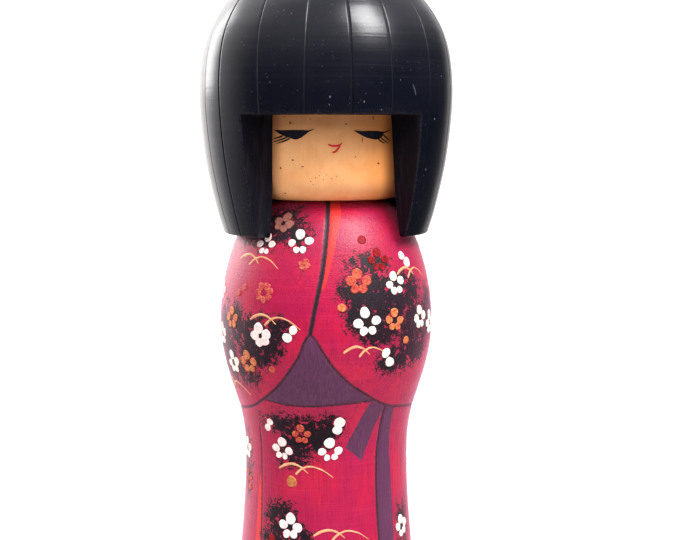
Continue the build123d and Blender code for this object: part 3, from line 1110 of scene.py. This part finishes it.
def side_angles(columns, height):
    """Where the columns lie outside, below the bangs, following the slant of the sawn sides."""
    known, wanted = [-PAST_BACK, -FREE_OUTSIDE], [-PAST_BACK, -FREE_OUTSIDE]
    for cut, ends, way in ((LEFT_CUT, LEFT_OUTSIDE, -1), (RIGHT_CUT, RIGHT_OUTSIDE, 1)):
        there = np.interp(height, [RIM, BANGS], ends)
        pair = sorted([0, way * np.degrees(EDGE_ROUND / HAIR_RADIUS)])
        known += [cut + step for step in pair]
        wanted += [there + step for step in pair]
    next_line = LINE_BESIDE_WINDOW - np.degrees(BESIDE_LINE[-1] / HAIR_RADIUS)
    known += [next_line, PAST_BACK]
    wanted += [next_line, PAST_BACK]
    return np.interp(columns, known, wanted)


def strip_faces(rows, columns, keep):
    """Quads round a ring, only between the columns marked to keep."""
    return ring_faces(rows, columns).reshape(rows - 1, columns, 4)[:, keep].reshape(-1, 4)


def make_hood():
    """The hair as one closed mesh, made of grids that share their borders."""
    columns = hair_columns()
    count = len(columns)
    away_from_line = np.min([abs(mm_round(away(a, columns))) for a, _, _ in HAIR_LINES], axis=0)
    deepest = np.array([d for _, _, d in HAIR_LINES])[
        np.argmin([abs(away(a, columns)) for a, _, _ in HAIR_LINES], axis=0)
    ]
    carve = HAIR_LINE_DEPTH * deepest * np.clip(1 - away_from_line / HAIR_LINE_HALF_WIDTH, 0, 1)
    # Painted shade along the bottoms of the carved lines
    dark = deepest * np.exp(-((away_from_line / GROOVE_SHADE_HALF_WIDTH) ** 2))
    solid = (columns < LEFT_CUT - 1e-6) | (columns > RIGHT_CUT - 1e-6)
    window = ~solid
    beyond = np.maximum(mm_round(LEFT_CUT - columns), mm_round(columns - RIGHT_CUT)).clip(0)

    points, faces, slots, grooves, edges = [], [], [], [], []

    def add_grid(grid, quads, slot, groove_shade, edge):
        """Adds faces over a grid's points, and what the material reads at each point."""
        start = sum(map(len, points))
        points.append(grid.reshape(-1, 3))
        faces.extend((np.asarray(quads) + start).tolist())
        slots.extend([slot] * len(quads))
        shape = grid.shape[:2]
        grooves.append(np.broadcast_to(groove_shade, shape).ravel())
        edges.append(np.broadcast_to(edge, shape).ravel())

    # Outside, below the level of the bangs
    low = spaced(RIM + RIM_ROUND, BANGS, ROW_STEP)
    side = np.interp(low, HAIR_SIDE[:, 1], HAIR_SIDE[:, 0])
    inset = rounding(beyond, EDGE_ROUND)[None, :]
    reach = side[:, None] - carve - inset
    outer = np.array([side_angles(columns, h) for h in low])
    grid = around(reach, outer, low[:, None])
    add_grid(grid, strip_faces(len(low), count, solid), 0, dark, np.exp(-beyond / 0.5))

    # Outside, above the bangs
    run = run_along(HAIR_SIDE)
    start = np.interp(BANGS, HAIR_SIDE[:, 1], run)
    at = np.r_[start + BESIDE_EDGE, spaced(start + 0.9, run[-1] - 1.4, ROW_STEP)]
    side = np.interp(at, run, HAIR_SIDE[:, 0])
    rise = np.interp(at, run, HAIR_SIDE[:, 1])
    rise[0] = BANGS
    share = np.clip((rise - BANGS) / (CROWN - BANGS), 0, 1) ** 1.5
    fade = np.clip((side - 5) / 6, 0, 1)
    angles = np.array([columns, *(bent_columns(columns, r, s) for r, s in zip(side[1:], share[1:]))])
    from_window = np.hypot(beyond[None, :], (rise - BANGS)[:, None])
    reach = side[:, None] - carve * fade[:, None] - rounding(from_window, EDGE_ROUND)
    grid = around(reach, angles, rise[:, None])
    quads = ring_faces(len(rise), count)
    add_grid(grid, quads, 0, dark * fade[:, None], np.exp(-from_window / 0.5))
    top = grid[-1]
    quads = [(k, (k + 1) % count, count) for k in range(count)]
    add_grid(np.vstack([top, [(0, 0, CROWN)]])[None], quads, 0, 0, 0)

    # Bore and its flat end
    deep = np.r_[low, spaced(BANGS, HEAD_TOP, 6)[1:]]
    inner = np.array([bore_angles(columns, h) for h in deep])
    grid = around(bore_radius(deep)[:, None], inner, deep[:, None])
    quads = np.vstack([
        strip_faces(len(low), count, solid),
        ring_faces(len(deep) - len(low) + 1, count) + (len(low) - 1) * count,
    ])
    add_grid(grid, quads[:, ::-1], 0, 0, 0)
    quads = [((k + 1) % count, k, count) for k in range(count)]
    add_grid(np.vstack([grid[-1], [(0, 0, HEAD_TOP)]])[None], quads, 0, 0, 0)

    # Rim
    bottom = low[0]
    inside, outside = bore_radius(bottom), np.interp(bottom, HAIR_SIDE[:, 1], HAIR_SIDE[:, 0])
    outside = outside - carve - inset[0]
    reach = inside + (outside - inside) * THROUGH[:, None]
    wide = outside - inside
    dip = rounding(wide * THROUGH[:, None], RIM_INNER_ROUND) / RIM_INNER_ROUND
    dip = dip + rounding(wide * (1 - THROUGH[:, None]), RIM_ROUND) / RIM_ROUND
    turn = inner[0] + (outer[0] - inner[0]) * THROUGH[:, None]
    rim = around(reach, turn, RIM + dip * (bottom - RIM))
    rim[0] = grid[0]
    add_grid(rim, strip_faces(len(THROUGH), count, solid)[:, ::-1], 0, dark * THROUGH[:, None] ** 3, 0)

    # Sawn underside of the bangs
    inside = bore_radius(BANGS)
    outside = side[0] - carve - EDGE_ROUND
    reach = inside + (outside - inside) * THROUGH[:, None]
    there = bore_angles(columns, BANGS)
    turn = there + (columns - there) * THROUGH[:, None]
    under = around(reach, turn, BANGS)
    keep = window.copy()
    keep[np.argmin(abs(columns - LEFT_CUT))] = True
    add_grid(under, strip_faces(len(THROUGH), count, keep)[:, ::-1], 1, 0, THROUGH[:, None] ** 12)

    # Sawn sides of the window
    for cut, outside_angle, inside_angle in (
        (LEFT_CUT, LEFT_OUTSIDE, LEFT_INSIDE), (RIGHT_CUT, RIGHT_OUTSIDE, RIGHT_INSIDE),
    ):
        column = np.argmin(abs(columns - cut))
        here = np.interp(low, [RIM, BANGS], outside_angle)[:, None]
        inside = bore_radius(low)[:, None]
        outside = (np.interp(low, HAIR_SIDE[:, 1], HAIR_SIDE[:, 0]) - carve[column] - EDGE_ROUND)[:, None]
        there = np.interp(low, [RIM, BANGS], inside_angle)[:, None]
        turn = there + (here - there) * THROUGH[None, :]
        rough = np.cumsum(random.normal(0, 0.03, (len(low), len(THROUGH))), axis=0)
        rough = (rough - np.linspace(0, 1, len(low))[:, None] * rough[-1:]).clip(-0.12, 0.12)
        rough = rough * np.minimum(1, np.minimum(THROUGH, 1 - THROUGH) / 0.1)[None, :]
        turn = turn + np.degrees(rough / 40)
        face = around(inside + (outside - inside) * THROUGH[None, :], turn, low[:, None])
        face[0] = rim[:, column]
        face[-1] = under[:, column]
        quads = ring_faces(len(low), len(THROUGH)).reshape(len(low) - 1, len(THROUGH), 4)[:, :-1]
        add_grid(face, quads.reshape(-1, 4), 1, 0, THROUGH[None, :] ** 12)

    hood = make_object("hair", np.vstack(points), faces, [hair_finish(), sawn_finish()])
    hood.data.polygons.foreach_set("material_index", slots)
    add_field(hood, "groove_shade", np.concatenate(grooves))
    add_field(hood, "edge", np.concatenate(edges))
    solid_mesh = bmesh.new()
    solid_mesh.from_mesh(hood.data)
    bmesh.ops.remove_doubles(solid_mesh, verts=solid_mesh.verts, dist=0.004 * MM)
    unused = [vertex for vertex in solid_mesh.verts if not vertex.link_faces]
    bmesh.ops.delete(solid_mesh, geom=unused, context="VERTS")
    bmesh.ops.recalc_face_normals(solid_mesh, faces=solid_mesh.faces)
    solid_mesh.to_mesh(hood.data)
    solid_mesh.free()
    return hood


# Pale specks where the black is chipped: angle, height, half width in mm
CHIPS = [
    (-2.8, 215.8, 0.26), (-3.1, 213.2, 0.2), (11.5, 214.2, 0.26), (56.2, 223.8, 0.24), (50.8, 208.6, 0.3),
    (48.5, 190.6, 0.26), (47.6, 188.4, 0.2), (-24.6, 245.4, 0.24), (13.9, 209.2, 0.18), (19.2, 211.5, 0.2),
    (118, 214, 0.24), (141, 196, 0.2), (-150, 226, 0.24), (-104, 203, 0.22), (-168, 190, 0.2),
]
# A dent scraped over the right eye, across and up in mm from its upper end
SCRAPE_PLACE = (35.0, 220.5)
SCRAPE = [(0, 0), (0.8, -1.7), (1.5, -3.9)]


def make_scuffs():
    """Small chips and a scrape that show grey in the black paint."""
    marks = Relief(Surface(HAIR_SIDE, 0.0))
    for angle, height, half_width in CHIPS:
        marks.dab(angle, height, 0, 0, half_width, 1.3 * half_width, thick=0.04)
    marks.stroke(*SCRAPE_PLACE, SCRAPE, [0.08, 0.24, 0.2, 0.08], thick=0.06)
    grey = grained_finish("scuffed_paint", rgb(104, 104, 114), rgb(56, 56, 66))
    return marks.build("hair_scuffs", grey)


# =====================================================================
# Floor, light and camera
# =====================================================================

def make_floor():
    """A round pale table top, whose far edge lies where the photograph's does."""
    finish = Finish("floor", Base_Color=rgb(208, 206, 205), Roughness=0.9, Specular_IOR_Level=0.2)
    radius, half_thick = 415, 10
    rim = arc((radius, -half_thick), half_thick, -90, 90, 12)
    outline = np.vstack([[(0, -2 * half_thick)], rim, [(0, 0)]])
    return turned("floor", outline, 240, finish.material, start=0)


def make_light(name, place, aim, size, power):
    """A soft rectangular lamp. Its size is in metres and its power in watts."""
    lamp = bpy.data.lights.new(name, "AREA")
    lamp.shape = "RECTANGLE"
    lamp.size, lamp.size_y = size
    lamp.energy = power
    source = bpy.data.objects.new(name, lamp)
    source.location = place
    source.rotation_euler = (Vector(aim) - Vector(place)).to_track_quat("-Z", "Y").to_euler()
    bpy.context.collection.objects.link(source)
    return source


def make_surroundings():
    """A white room, bright overhead, behind the doll and to its left, and dim in front of it.

    The camera itself sees plain white all round.
    """
    world = bpy.data.worlds.new("room")
    world.use_nodes = True
    room = Nodes(world.node_tree)
    direction = room.add("TexCoord").outputs["Generated"]
    x, y, z = room.add("SeparateXYZ", {"Vector": direction}).outputs
    to_right = room.step(x, -0.25, 0.25)
    to_left = room.sums("SUBTRACT", 1.0, to_right)
    left = room.plus(room.step(y, -0.3, 0.3, 0, 0.9), room.step(y, 0.5, 0.8, 0, 1.6))
    left = room.sums("MULTIPLY", room.sums("MULTIPLY", to_left, left), room.step(z, -0.5, 0.25, 0.3, 1.3))
    right = room.sums("MULTIPLY", to_right, room.step(y, 0.65, 1.0, 0, 1.5))
    ceiling = room.step(z, 0.1, 0.8)
    light = room.plus(room.plus(0.05, ceiling), room.plus(left, right))
    seen = room.add("LightPath").outputs["Is Camera Ray"]
    shine = room.tree.nodes["Background"]
    room.feed(shine.inputs["Color"], (1.0, 0.96, 0.96, 1))
    room.feed(shine.inputs["Strength"], room.sums("MAXIMUM", light, room.sums("MULTIPLY", seen, 1.06)))
    bpy.context.scene.world = world


def make_camera():
    """The photograph's view: from just left of the middle, level with the eyes, looking down a little."""
    azimuth, pitch, pan = -4.5, 6.2, 0.636
    distance, height = 0.4784, 0.2036
    lens = bpy.data.cameras.new("camera")
    lens.lens = 66.76
    lens.sensor_width = 36.0
    lens.clip_start, lens.clip_end = 0.01, 20.0
    camera = bpy.data.objects.new("camera", lens)
    a = math.radians(azimuth)
    camera.location = (distance * math.sin(a), -distance * math.cos(a), height)
    camera.rotation_euler = (math.radians(90 - pitch), 0, math.radians(azimuth - pan))
    bpy.context.collection.objects.link(camera)
    bpy.context.scene.camera = camera


# =====================================================================
# Assembly
# =====================================================================

make_camera()
make_surroundings()
make_light("softbox", (0.46, -0.45, 0.95), (0, 0, 0.18), (0.34, 0.44), 13.8)
make_light("window", (-0.85, 0.75, 0.6), (0, 0, 0.2), (0.35, 0.7), 5.6)
fill = make_light("fill", (-0.3, -0.95, 0.8), (0, 0, 0.15), (0.9, 0.8), 7.4)
fill.visible_glossy = False
bpy.context.scene.view_settings.view_transform = "Standard"

skirt, kimono_top = make_kimono(kimono_finish())
for piece in (skirt, kimono_top):
    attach(piece, "lower")
    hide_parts("body")
for piece in make_blossoms():
    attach(piece, "lower")

peg = make_peg()
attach(peg, "lower")
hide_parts("neck_peg")

face = make_head()
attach(face, "upper")
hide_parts("head")
for piece in make_features():
    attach(piece, "upper")

hair = make_hood()
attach(hair, "upper")
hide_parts("hair_hood")
scuffs = make_scuffs()
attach(scuffs, "upper")

floor = make_floor()
floor.visible_glossy = False
